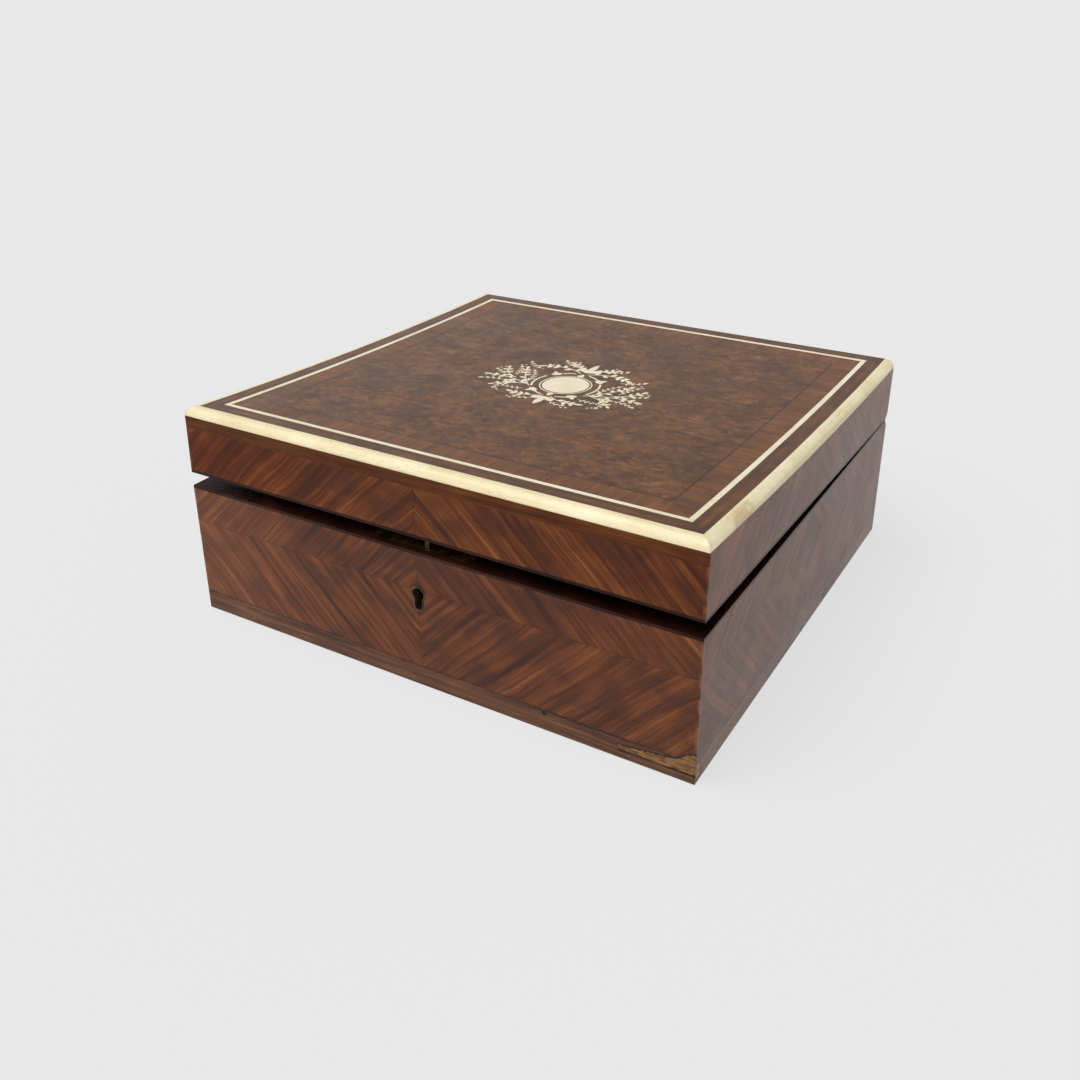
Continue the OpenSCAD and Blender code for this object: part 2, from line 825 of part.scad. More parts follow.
// A side edging is its outline carried along the hollow top, then mitred at the front
module side_bone_edging(side) {
    m = mitre;
    turns = 8;
    round_off = [for (i = [1 : turns])
        edge_h * [1 - cos(90 * i / turns), sin(90 * i / turns) - 1]];
    outline = concat([[edge_w, 0], [edge_w, -edge_h], [0, -edge_h]], round_off);
    n = len(outline);
    ys = [for (i = [0 : arc_steps]) half_d * (2 * i / arc_steps - 1)];
    points = [for (y = ys, p = outline) [p[0] - half_w, y, top_at(y) + p[1]]];
    front_end = [for (i = [0 : n - 1]) i];
    back_end = [for (i = [n - 1 : -1 : 0]) arc_steps * n + i];
    sides = [for (j = [0 : arc_steps - 1], i = [0 : n - 1])
        [j * n + (i + 1) % n, j * n + i, (j + 1) * n + i, (j + 1) * n + (i + 1) % n]];
    color("ivory") on_lid() mirror([side > 0 ? 1 : 0, 0, 0]) intersection() {
        polyhedron(points, concat([front_end, back_end], sides));
        translate([0, 0, board_z]) linear_extrude(lid_h)
            polygon([[-half_w - 1, half_d + 1], [-half_w - 1, -half_d - 1 + m],
                [-half_w + edge_w, -half_d + edge_w + m], [-half_w + edge_w, half_d + 1]]);
    }
}

module left_bone_edging() {
    side_bone_edging(-1);
}

module right_bone_edging() {
    side_bone_edging(1);
}

module top_outer_banding() {
    color("saddlebrown") on_lid() top_frame(0, outer_band_w);
}

module top_stringing() {
    color("ivory") on_lid() top_frame(outer_band_w, string_w);
}

module top_crossbanding() {
    color("sienna") on_lid() top_frame(outer_band_w + string_w, cross_band_w);
}

module top_dark_line() {
    color("black") on_lid()
        top_frame(outer_band_w + string_w + cross_band_w, dark_line_w);
}

// The inlay, drawn in the plan about its own middle. A growth g gives each pocket

// Oval ring between two half sizes, or a whole oval
module oval(rx, ry) {
    scale([1, ry / rx]) circle(rx);
}

// Pointed leaf along +X from the origin, between two arcs
module leaf(length, width, g) {
    r = (length * length + width * width) / (4 * width);
    translate([length / 2, 0]) intersection() {
        translate([0, r - width / 2]) circle(r + g);
        translate([0, width / 2 - r]) circle(r + g);
    }
}

// Leaves fanned out about +X from the origin, the middle one longest
module fan(count, spread, length, width, g) {
    for (i = [0 : count - 1]) {
        a = (i - (count - 1) / 2) * spread;
        rotate(a) translate([-0.5, 0]) leaf(length * (1 - abs(a) / 150), width, g);
    }
}

// Sector of the plan about the origin, from one angle to another
module sector(a0, a1) {
    far = 3 * ring_ry;
    polygon([[0, 0], far * [cos(a0), sin(a0)],
        far * [cos((a0 + a1) / 2), sin((a0 + a1) / 2)], far * [cos(a1), sin(a1)]]);
}

// Part of a ring about the origin, from one angle to another
module ring_arc(r, a0, a1, w, g) {
    far = 2 * r;
    intersection() {
        difference() {
            circle(r + w / 2 + g);
            circle(r - w / 2 - g);
        }
        polygon([[0, 0], far * [cos(a0), sin(a0)],
            far * [cos((a0 + a1) / 2), sin((a0 + a1) / 2)], far * [cos(a1), sin(a1)]]);
    }
}

// Flower of five petals round a gap for its eye
module flower(r, g) {
    for (i = [0 : 4]) rotate(72 * i + 18) translate([0.5, 0]) leaf(r - 0.5, r * 0.62, g);
}

// Curved stem from the origin along +X, with leaves on both sides and one at its tip.
// A negative sweep turns it the other way
module sprig(r, sweep, count, length, g) {
    turn = sweep < 0 ? -1 : 1;
    a1 = abs(sweep);
    width = length * 0.42;
    mirror([0, turn < 0 ? 1 : 0]) {
        translate([0, r]) ring_arc(r, -90, -90 + a1, stem_w, g);
        for (i = [1 : count]) {
            a = a1 * i / (count + 0.6);
            for (side = [-1, 1]) if ((i % 2 == 0) == (side > 0) || i > count - 2)
                translate([r * sin(a), r * (1 - cos(a))])
                    rotate(a + side * 52) leaf(length * (1 - 0.06 * i), width, g);
        }
        translate([r * sin(a1), r * (1 - cos(a1))]) rotate(a1)
            translate([-0.4, 0]) leaf(length * 1.15, width, g);
    }
}

module sprigs(list, g) {
    for (s = list)
        translate([s[0], s[1]]) rotate(s[2]) sprig(s[3], s[4], s[5], s[6], g);
}

// Right-hand half of the foliage; the left-hand half is its mirror image
module foliage_half(g) {
    sprigs(side_sprigs, g);
    sprigs(top_sprigs, g);
    sprigs(foot_sprigs, g);
    translate([29.4, -10.4]) flower(3.6, g);
    for (a = [46, -52]) rotate(a) translate([ring_rx - 0.6, 0]) fan(3, 50, 6.4, 2.8, g);
}

module foliage(g) {
    for (side = [0, 1]) mirror([side, 0]) foliage_half(g);
    translate([0, oval_ry + 2.6]) rotate(90) fan(3, 60, 4.6, 2.2, g);
    translate([0, 23.4]) rotate(90) fan(3, 44, 15.4, 3.8, g);
    translate([0, -oval_ry - 2.6]) rotate(-90) fan(3, 60, 4.2, 2.2, g);
    translate([0, -22]) rotate(-90) fan(3, 56, 13, 3.8, g);
}

// The line round the cartouche, and the outer ring in parts between the foliage
module rings(g) {
    line_in = oval_line_gap - g;
    line_out = oval_line_gap + oval_line_w + g;
    difference() {
        oval(oval_rx + line_out, oval_ry + line_out);
        oval(oval_rx + line_in, oval_ry + line_in);
    }
    for (a = [0, 180]) intersection() {
        difference() {
            oval(ring_rx + ring_w / 2 + g, ring_ry + ring_w / 2 + g);
            oval(ring_rx - ring_w / 2 - g, ring_ry - ring_w / 2 - g);
        }
        rotate(a) union() {
            sector(-26, 34);
            sector(57, 78);
            sector(102, 123);
        }
    }
}

module on_top() {
    on_lid() top_layer(face_t) translate([0, inlay_y]) children();
}

module inlay_cartouche() {
    color("ivory") on_top() oval(oval_rx, oval_ry);
}

module inlay_rings() {
    color("ivory") on_top() difference() {
        rings(0);
        foliage(inlay_gap);
    }
}

module inlay_foliage() {
    color("ivory") on_top() foliage(0);
}

module top_burr_field() {
    color("rosybrown") on_lid() difference() {
        top_layer(face_t) translate([-field_hw, field_front])
            square([2 * field_hw, field_back - field_front]);
        translate([0, inlay_y, board_z]) linear_extrude(lid_h) {
            oval(oval_rx + inlay_gap, oval_ry + inlay_gap);
            rings(inlay_gap);
            foliage(inlay_gap);
        }
    }
}

// Link plate in the lid's front rim, with the staple that the bolt's nose enters
module lock_link_plate() {
    hw = case_hw + plate_ear;
    eye_z = nose_z - lock_clear;
    eye_h = nose_h + 2 * lock_clear;
    color("goldenrod") on_lid() difference() {
        union() {
            block([-hw, selvedge_y, lid_z], [hw, -inner_hd, lid_z + plate_t]);
            block([staple_x - staple_t / 2, bolt_y - staple_w / 2, nose_z - 1.9],
                [staple_x + staple_t / 2, bolt_y + staple_w / 2, lid_z + 0.5]);
        }
        block([staple_x - staple_t, bolt_y - eye_w / 2, eye_z],
            [staple_x + staple_t, bolt_y + eye_w / 2, eye_z + eye_h]);
        link_screw_set(joint_gap);
    }
}

module link_plate_screws() {
    color("darkgoldenrod") on_lid() link_screw_set();
}

module lid_pad() {
    hw = inner_hw - pad_gap;
    hd = inner_hd - pad_gap;
    z1 = board_z - pad_gap;
    color("crimson") on_lid() block([-hw, -hd, z1 - lid_pad_t], [hw, hd, z1]);
}

base_front_wall();
base_back_wall();
base_left_wall();
base_right_wall();
base_bottom_board();
base_front_veneer();
base_back_veneer();
base_left_veneer();
base_right_veneer();
base_foot_banding();
base_rim_facing();
escutcheon();
lock_plate();
lock_cap();
lock_pillars();
lock_drill_pin();
lock_spring();
lock_screws();
lock_bolt();
left_hinge_base_leaf();
right_hinge_base_leaf();
left_hinge_lid_leaf();
right_hinge_lid_leaf();
left_hinge_pin();
right_hinge_pin();
hinge_base_screws();
hinge_lid_screws();
base_floor_pad();
lid_front_rail();
lid_back_rail();
lid_left_rail();
lid_right_rail();
lid_top_board();
lid_front_veneer();
lid_back_veneer();
lid_left_veneer();
lid_right_veneer();
lid_front_banding();
lid_rim_facing();
top_burr_field();
top_dark_line();
top_crossbanding();
top_stringing();
top_outer_banding();
front_bone_edging();
left_bone_edging();
right_bone_edging();
inlay_cartouche();
inlay_rings();
inlay_foliage();
lock_link_plate();
link_plate_screws();
lid_pad();
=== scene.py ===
import math

import bpy
from mathutils import Matrix, Vector


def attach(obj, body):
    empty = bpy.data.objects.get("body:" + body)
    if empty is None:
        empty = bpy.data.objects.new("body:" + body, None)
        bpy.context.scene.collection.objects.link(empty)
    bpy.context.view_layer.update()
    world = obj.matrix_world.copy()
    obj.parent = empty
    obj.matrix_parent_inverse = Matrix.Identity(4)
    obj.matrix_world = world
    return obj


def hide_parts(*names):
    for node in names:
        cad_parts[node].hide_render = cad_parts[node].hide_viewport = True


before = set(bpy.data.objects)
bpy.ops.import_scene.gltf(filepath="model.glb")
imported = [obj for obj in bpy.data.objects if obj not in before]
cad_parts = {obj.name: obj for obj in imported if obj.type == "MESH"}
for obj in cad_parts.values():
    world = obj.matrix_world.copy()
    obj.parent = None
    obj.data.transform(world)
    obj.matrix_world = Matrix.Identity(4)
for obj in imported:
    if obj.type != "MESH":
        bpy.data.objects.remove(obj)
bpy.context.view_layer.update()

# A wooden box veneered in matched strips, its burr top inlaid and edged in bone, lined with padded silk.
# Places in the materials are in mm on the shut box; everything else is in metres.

# The box

HALF_WIDTH, HALF_DEPTH = 140.0, 133.0      # outside, in mm
MATCH_Z = 52.6                             # height of the level joint in the base's matched veneer
RIM_Z = 72.5                               # top of the base
FOOT_Z = 11.2                              # top of the banding round the foot
HINGE_Y, HINGE_Z = 129.6, 72.65            # the lid's axis
AJAR = math.radians(1.5)                   # how far the lid stands open at rest

# The camera

AZIMUTH, ELEVATION, ROLL = 0.5391, 0.4219, -0.0054
AIM = Vector((0.0, 0.00708, 0.04667))
ASIDE, ABOVE, DISTANCE = -0.01576, 0.01539, 0.6235
LENS, SHIFT_Y = 37.26, -0.0741

# The light

LOW_LIGHT, HIGH_LIGHT = 1.00, 0.16        # the room near the horizon and overhead
LOW_TO, HIGH_FROM = 0.27, 0.37            # sines of the heights between which it falls off
SUN_STRENGTH, SUN_WIDTH = 2.45, math.radians(60)
SUN_AZIMUTH, SUN_HEIGHT = math.radians(-30), math.radians(67)
FLOOR_GLOW, FLOOR_SHADE = 0.82, 0.20
BACKDROP = 0.807


def rgb(red, green, blue):
    """A colour given as screen values from 0 to 255, as the linear values that shaders use."""
    def linear(v):
        v /= 255
        return v / 12.92 if v <= 0.04045 else ((v + 0.055) / 1.055) ** 2.4
    return (linear(red), linear(green), linear(blue), 1.0)


class Value:
    """One output of a finish's nodes; arithmetic on it adds Math nodes."""

    def __init__(self, finish, socket):
        self.finish, self.socket = finish, socket

    def math(self, operation, *others):
        return self.finish.node("ShaderNodeMath", (self, *others), operation=operation)

    def __add__(self, other):
        return self.math("ADD", other)

    def __sub__(self, other):
        return self.math("SUBTRACT", other)

    def __mul__(self, other):
        return self.math("MULTIPLY", other)

    def __truediv__(self, other):
        return self.math("DIVIDE", other)

    def __rsub__(self, other):
        return self.finish.node("ShaderNodeMath", (other, self), operation="SUBTRACT")

    def __abs__(self):
        return self.math("ABSOLUTE")

    def low(self, other):
        return self.math("MINIMUM", other)

    def high(self, other):
        return self.math("MAXIMUM", other)


class Finish:
    """A procedural material. Its x, y and z are places in mm on the shut box."""

    def __init__(self, name, on_lid=False):
        self.material = bpy.data.materials.new(name)
        self.material.use_nodes = True
        self.tree = self.material.node_tree
        self.shader = self.tree.nodes["Principled BSDF"]
        place = self.node("ShaderNodeTexCoord", output="Object")
        turn = AJAR if on_lid else 0.0
        shift = (0.0, HINGE_Y - HINGE_Y * math.cos(turn) + HINGE_Z * math.sin(turn),
                 HINGE_Z - HINGE_Y * math.sin(turn) - HINGE_Z * math.cos(turn))
        self.place = self.node("ShaderNodeMapping", (place, shift, (turn, 0.0, 0.0), (1000.0,) * 3))
        split = self.node("ShaderNodeSeparateXYZ", (self.place,)).socket.node
        self.x, self.y, self.z = (Value(self, s) for s in split.outputs)

    def node(self, kind, inputs=(), output=0, **settings):
        """Adds a node; inputs is a tuple in socket order or a dict by socket name or number."""
        node = self.tree.nodes.new(kind)
        for key, value in settings.items():
            setattr(node, key, value)
        for key, value in (inputs.items() if isinstance(inputs, dict) else enumerate(inputs)):
            if isinstance(value, Value):
                self.tree.links.new(value.socket, node.inputs[key])
            else:
                node.inputs[key].default_value = value
        return Value(self, node.outputs[output])

    def vector(self, x, y, z):
        return self.node("ShaderNodeCombineXYZ", (x, y, z))

    def noise(self, x, y, z=0.0, detail=2.0, roughness=0.5, distortion=0.0):
        """Soft noise around 0.5, whose blots are about one unit across."""
        return self.node("ShaderNodeTexNoise", {
            "Vector": self.vector(x, y, z), "Scale": 1.0, "Detail": detail,
            "Roughness": roughness, "Distortion": distortion})

    def cells(self, x, y, z=0.0, output="Distance", **settings):
        return self.node("ShaderNodeTexVoronoi", {"Vector": self.vector(x, y, z), "Scale": 1.0},
                         output=output, **settings)

    def step(self, value, start, end):
        """0 up to start, 1 from end, smooth between; start may be the larger."""
        return self.node("ShaderNodeMapRange", (value, start, end), interpolation_type="SMOOTHSTEP")

    def ramp(self, value, *stops):
        node = self.node("ShaderNodeValToRGB", (value,)).socket.node
        elements = node.color_ramp.elements
        while len(elements) < len(stops):
            elements.new(0.5)
        for element, (position, colour) in zip(elements, stops):
            element.position, element.color = position, colour
        return Value(self, node.outputs[0])

    def mix(self, factor, first, second, blend="MIX"):
        return self.node("ShaderNodeMix", {0: factor, 6: first, 7: second}, output=2,
                         data_type="RGBA", blend_type=blend)

    def surface(self, colour, roughness, height, **constants):
        """Joins colour, roughness and height in mm to the shader; constants go on its own sockets."""
        self.tree.links.new(colour.socket, self.shader.inputs["Base Color"])
        self.tree.links.new(roughness.socket, self.shader.inputs["Roughness"])
        bump = self.node("ShaderNodeBump", {"Height": height, "Distance": 0.001, "Strength": 1.0})
        self.tree.links.new(bump.socket, self.shader.inputs["Normal"])
        for name, value in constants.items():
            self.shader.inputs[name.replace("_", " ")].default_value = value
        return self

    def on(self, *names):
        """Puts this finish on CAD nodes."""
        for name in names:
            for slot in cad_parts[name].material_slots:
                slot.material = self.material
        return self


# Woods

POLISH, LID_POLISH, RIM_POLISH = 1.30, 1.22, 1.22      # index of refraction of the worn film of polish


def polished(f, colour, height, gloss=0.30, ior=POLISH):
    """French polish: an uneven film with faint wipe marks and scratches."""
    film = f.noise(f.x / 22, f.y / 22, f.z / 22, detail=3.0)
    rubs = f.noise((f.x + f.z) / 3.1, (f.y - f.z) / 3.1, 4.0, detail=3.0, roughness=0.6)
    scratch = f.step(abs(f.noise((f.x + f.y) / 9, (f.x - f.y) / 31, f.z / 9, detail=4.0) - 0.5), 0.006, 0.0)
    roughness = film * 0.16 + rubs * 0.10 + scratch * 0.10 + (gloss - 0.13)
    return f.surface(colour, roughness, height + film * 0.20 - scratch * 0.006, IOR=ior)


def worn_edges(f, colour, near, dirt=0.35):
    """Darkens a hair's breadth along joints, where near is the distance in mm, with broken dirt beside."""
    broken = f.noise((f.x + f.y) / 5, f.z / 3, 2.0, detail=3.0)
    line = f.step(near, 0.45, 0.05) * 0.8
    grime = f.step(near, 2.2, 0.0) * f.step(broken, 0.42, 0.62) * dirt
    return f.mix(line.high(grime), colour, rgb(34, 18, 12))


def lost_veneer(f):
    """Where the veneer is gone at the foot: masks of bare wood, of hollows painted near-black as shade, and their
    depth in mm.
    """
    ragged = f.noise((f.x + f.y) / 2.2, f.z / 1.6, 5.0, detail=4.0, roughness=0.65)
    front = f.step(f.y, -HALF_DEPTH + 1.0, -HALF_DEPTH + 0.4)
    right = f.step(f.x, HALF_WIDTH - 1.0, HALF_WIDTH - 0.4)
    top = f.node("ShaderNodeMapRange", (f.x, 108.0, 133.0, 7.4, 10.6)) \
        + f.step(f.x, 130.0, 138.0) * 4.6 + (ragged - 0.5) * 3.2
    floor = (ragged - 0.5) * 2.0 + 4.9
    within = front * f.step(f.x, 103.5, 105.0)
    wedge = within * f.step(top - f.z, 0.0, 0.3) * f.step(f.z - floor, 0.0, 0.3)
    rim = within * f.step(top - f.z, -0.9, -0.2) * f.step(f.z - floor, -0.9, -0.2) - wedge
    corner = right * f.step(f.y + (ragged - 0.5) * 3.0, -127.6, -128.4) \
        * f.step(f.z, 1.8, 2.6) * f.step(f.z + (ragged - 0.5) * 3.0, 10.4, 9.6)
    crack = front * f.step(abs(f.z - FOOT_Z + 0.5 + (ragged - 0.5) * 2.2), 0.34, 0.10) \
        * f.step(f.x, 52.0, 60.0) * f.step(f.x, 112.0, 103.0)
    notch = front * f.step(abs(f.x - 67.0) * 0.5 + abs(f.z - 9.6) * 0.55 + (ragged - 0.5) * 1.2, 1.0, 0.6)

    def knock(y, wide, tall):
        far = (abs(f.y - y) / wide).math("POWER", 2.0) + (abs(f.z - 1.5) / tall).math("POWER", 2.0)
        return right * f.step(far + (ragged - 0.5) * 3.4, 1.05, 0.75) * 0.88

    # The veneer's broken edge, the crack, the notch and the knocks: painted shade in these hollows.
    hollow = rim.high(crack).high(notch).high(knock(2.0, 2.4, 2.8)).high(knock(39.0, 3.8, 6.2))
    return wedge.high(corner), hollow, (wedge + corner) * -0.7 - hollow * 0.5


def with_losses(f, colour, height):
    bare, hollow, depth = lost_veneer(f)
    fibre = f.noise((f.x + f.y) / 9, f.z / 0.55, 3.0, detail=3.0, roughness=0.6)
    grime = f.step(f.noise((f.x + f.y) / 5, f.z / 2.4, 23.0, detail=3.0), 0.44, 0.62) * 0.7
    colour = f.mix(bare, colour, f.mix(grime, f.ramp(fibre, (0.30, rgb(88, 56, 30)), (0.50, rgb(140, 98, 56)),
                                                     (0.70, rgb(170, 126, 78))), rgb(78, 46, 26)))
    # Painted shade: the hollows are painted near-black.
    return f.mix(hollow, colour, rgb(30, 17, 11)), height + depth


def matched_veneer(name, nodes, on_lid, sideways, seed):
    """Striped veneer in strips at 45 degrees, mirrored about the middle and, on the base, about a level joint."""
    f = Finish(name, on_lid)
    side = f.y if sideways else f.x
    run = abs(side)
    rise = f.z - 80.0 if on_lid else abs(f.z - MATCH_Z)
    seed = f.step(side, -0.01, 0.01) * 0.16 + f.step(f.z, MATCH_Z, MATCH_Z + 0.02) * 0.30 + seed
    wander = f.noise(run / 64, rise / 52, seed) * 7.0 + f.noise(run / 13, rise / 13, seed + 2.0) * 1.1
    across = (run + rise) * 0.7071 + wander
    along = (run - rise) * 0.7071
    band = f.noise(across / 7.5, along / 150, seed + 3.0, detail=2.0)
    streak = f.noise(across / 2.3, along / 75, seed, detail=3.0, roughness=0.6)
    hair = f.noise(across / 0.62, along / 28, seed + 5.0, detail=2.0)
    cloud = f.noise(run / 24, rise / 17, seed + 9.0, detail=2.0)
    pore = f.step(f.noise(across / 0.34, along / 3.4, seed + 13.0, detail=1.0), 0.58, 0.72)
    tone = band * 0.34 + streak * 0.36 + hair * 0.16 + cloud * 0.14
    colour = f.ramp(tone, (0.35, rgb(50, 23, 13)), (0.43, rgb(74, 36, 19)), (0.50, rgb(96, 50, 25)),
                    (0.57, rgb(120, 66, 33)), (0.66, rgb(148, 88, 48)))
    colour = f.mix(f.step(cloud, 0.50, 0.36) * 0.40, colour, rgb(70, 40, 30))
    colour = f.mix(pore * 0.35, colour, rgb(40, 20, 12))
    if on_lid and not sideways:
        colour = f.mix(f.step(f.x, -20.0, -125.0) * 0.80, colour,
                       f.ramp(tone, (0.36, rgb(50, 18, 2)), (0.50, rgb(90, 36, 2)), (0.64, rgb(140, 66, 6))))
    # Painted light: the base's front and back are painted lighter towards their left end, where the light comes from.
    if not on_lid and not sideways:
        colour = f.mix(f.step(f.x, -50.0, -130.0) * 0.40, colour,
                       f.ramp(tone, (0.36, rgb(76, 42, 27)), (0.50, rgb(122, 72, 44)), (0.64, rgb(164, 108, 68))))
    joint = run if on_lid else run.low(rise)
    rim = f.z - 73.0 if on_lid else (RIM_Z - f.z).low(abs(f.z - FOOT_Z))
    colour = f.mix(f.step(joint, 0.32, 0.06) * 0.6, colour, rgb(44, 22, 15))
    colour = worn_edges(f, colour, rim)
    corner = (HALF_DEPTH if sideways else HALF_WIDTH) - run
    rub = f.step(corner, 1.8, 0.3) * f.step(f.noise(f.z / 6, corner / 3, seed, detail=3.0), 0.40, 0.60)
    colour = f.mix(rub * 0.45, colour, rgb(150, 98, 62))
    height = hair * 0.02 - pore * 0.012 + streak * 0.03 - f.step(joint, 0.32, 0.06) * 0.04
    if not on_lid:
        colour, height = with_losses(f, colour, height)
    polished(f, colour, height, ior=LID_POLISH if on_lid and not sideways else POLISH).on(*nodes)


def straight_wood(name, nodes, on_lid, stops, width=0.9, losses=False, gloss=0.30, ior=POLISH):
    """Plain wood whose grain runs level round the box."""
    f = Finish(name, on_lid)
    level = f.x + f.y
    bend = f.noise(level / 60, f.z / 20, 1.0) * 4.0
    streak = f.noise(level / 75, (f.z + bend) / (width * 2.6), 2.0, detail=3.0, roughness=0.6)
    hair = f.noise(level / 22, (f.z + bend) / (width * 0.55), 6.0, detail=2.0)
    cloud = f.noise(level / 24, f.z / 14, 8.0)
    pore = f.step(f.noise(level / 2.6, f.z / 0.28, 9.0, detail=1.0), 0.60, 0.72)
    colour = f.ramp(streak * 0.5 + hair * 0.25 + cloud * 0.25, *stops)
    colour = f.mix(pore * 0.35, colour, rgb(36, 18, 12))
    height = hair * 0.02 - pore * 0.012
    if losses:
        colour = worn_edges(f, colour, f.z.low(abs(f.z - FOOT_Z)), dirt=0.6)
        colour, height = with_losses(f, colour, height)
    polished(f, colour, height, gloss, ior).on(*nodes)


def board(name, nodes, on_lid, lengthwise, seed):
    """Sawn board of the carcass, oiled: rings, pores and a few darker streaks along its length."""
    f = Finish(name, on_lid)
    long, wide, deep = (f.x, f.y, f.z) if lengthwise else (f.y, f.x, f.z)
    bow = f.noise(long / 140, wide / 60, seed) * 30.0
    rings = f.noise(long / 260, (wide + bow) / 6.5, (deep + bow * 0.4) / 5.0, detail=3.0, roughness=0.55)
    hair = f.noise(long / 30, wide / 0.7, deep / 0.7, detail=2.0)
    pore = f.step(f.noise(long / 5, wide / 0.35, deep / 0.35, detail=1.0), 0.60, 0.74)
    stain = f.noise(long / 50, wide / 50, deep / 50, detail=3.0)
    colour = f.ramp(rings * 0.6 + hair * 0.2 + stain * 0.2, (0.36, rgb(104, 62, 34)), (0.47, rgb(138, 88, 50)),
                    (0.56, rgb(164, 112, 68)), (0.66, rgb(186, 136, 88)))
    colour = f.mix(pore * 0.4, colour, rgb(70, 40, 22))
    colour = f.mix(f.step(stain, 0.56, 0.70) * 0.35, colour, rgb(72, 44, 28))
    roughness = rings * 0.2 + 0.40
    f.surface(colour, roughness, rings * 0.10 + hair * 0.05 - pore * 0.05).on(*nodes)


def border_places(f):
    """Distances in mm from the top's nearest edge and along it, and how near the mitre is."""
    from_side = HALF_WIDTH - abs(f.x)
    from_front = HALF_DEPTH - abs(f.y)
    at_side = f.step(from_front - from_side, -0.01, 0.01)
    along = f.y * at_side + f.x * (1.0 - at_side)
    return from_side.low(from_front), along, abs(from_side - from_front)


def burr(nodes):
    """Close-set mottled figure of the top: overlapping tufts, dark eyes and veins."""
    f = Finish("burr", True)
    push_x = f.noise(f.x / 11, f.y / 11, 3.0, detail=3.0) * 7.0
    push_y = f.noise(f.x / 11, f.y / 11, 8.0, detail=3.0) * 7.0
    x, y = f.x + push_x, f.y + push_y
    u, v = (x + y * 0.7) / 4.6, (y - x * 0.35) / 3.0
    tuft = f.node("ShaderNodeSeparateXYZ", (f.cells(u, v, output="Color", feature="F1"),))
    edge = f.step(f.cells(u, v, feature="DISTANCE_TO_EDGE"), 0.20, 0.02)
    lean = f.cells(u, v, feature="F1")
    fleck = f.noise(x / 1.3, y / 1.0, 5.0, detail=4.0, roughness=0.65, distortion=0.5)
    cloud = f.noise(x / 24, y / 24, 7.0, detail=2.0)
    stroke = f.step(f.noise((x + y * 0.5) / 5.5, (y - x * 0.5) / 1.3, 16.0, detail=2.0), 0.56, 0.66)
    vein = f.step(abs(f.noise(x / 13, y / 9, 13.0, detail=4.0, roughness=0.6) - 0.5), 0.014, 0.002)
    eyes = f.cells(x / 9.0, y / 9.0, 2.0, feature="F1")
    some = f.step(f.noise(f.x / 14, f.y / 14, 21.0), 0.56, 0.62)
    eye = f.step(eyes, 0.13, 0.05) * some
    tone = tuft * 0.20 + lean * 0.10 + fleck * 0.30 + cloud * 0.38
    colour = f.ramp(tone, (0.30, rgb(60, 33, 14)), (0.41, rgb(86, 50, 20)), (0.50, rgb(108, 65, 26)),
                    (0.59, rgb(130, 80, 34)), (0.70, rgb(154, 100, 48)))
    colour = f.mix(edge * 0.34, colour, rgb(60, 31, 13))
    colour = f.mix(stroke * 0.40, colour, rgb(58, 30, 14))
    colour = f.mix(vein * 0.30, colour, rgb(46, 24, 12))
    colour = f.mix(eye * 0.60, colour, rgb(40, 20, 11))
    height = fleck * 0.02 + tuft * 0.012 - eye * 0.03 - vein * 0.01
    polished(f, colour, height, 0.31).on(*nodes)


def top_strip(name, nodes, crossed, stops):
    """A banding of the top, its grain across the strip or along it, mitred at the corners."""
    f = Finish(name, True)
    inward, along, mitre = border_places(f)
    if crossed:
        grain_u, grain_v = along, inward
    else:
        grain_u, grain_v = inward, along
    streak = f.noise(grain_u / 2.6, grain_v / 40, 3.0, detail=3.0, roughness=0.6)
    hair = f.noise(grain_u / 0.6, grain_v / 14, 4.0, detail=2.0)
    cloud = f.noise(f.x / 16, f.y / 16, 6.0)
    pore = f.step(f.noise(grain_u / 0.28, grain_v / 2.2, 9.0, detail=1.0), 0.60, 0.72)
    colour = f.ramp(streak * 0.5 + hair * 0.25 + cloud * 0.25, *stops)
    colour = f.mix(pore * 0.35, colour, rgb(36, 18, 12))
    colour = f.mix(f.step(mitre, 0.30, 0.06) * 0.7, colour, rgb(34, 18, 12))
    polished(f, colour, hair * 0.02 - pore * 0.012 - f.step(mitre, 0.3, 0.06) * 0.03, 0.31).on(*nodes)


TOP_BROWN = ((0.34, rgb(72, 40, 17)), (0.46, rgb(100, 58, 24)), (0.56, rgb(122, 73, 31)), (0.68, rgb(146, 92, 44)))
LID_BROWN = ((0.34, rgb(48, 22, 8)), (0.46, rgb(76, 38, 14)), (0.56, rgb(98, 52, 20)), (0.68, rgb(122, 72, 32)))
EDGE_BROWN = ((0.34, rgb(58, 31, 14)), (0.46, rgb(84, 48, 22)), (0.56, rgb(106, 64, 30)), (0.68, rgb(130, 84, 44)))
# The rim facings: dark rosewood, darkened further with painted shade of the lid over the gap between lid and base.
RIM_BROWN_SHADED = ((0.34, rgb(24, 10, 7)), (0.46, rgb(38, 17, 11)), (0.56, rgb(54, 25, 16)), (0.68, rgb(74, 38, 25)))
FOOT_BROWN = ((0.34, rgb(58, 34, 22)), (0.46, rgb(88, 54, 36)), (0.56, rgb(112, 72, 48)), (0.68, rgb(138, 96, 66)))

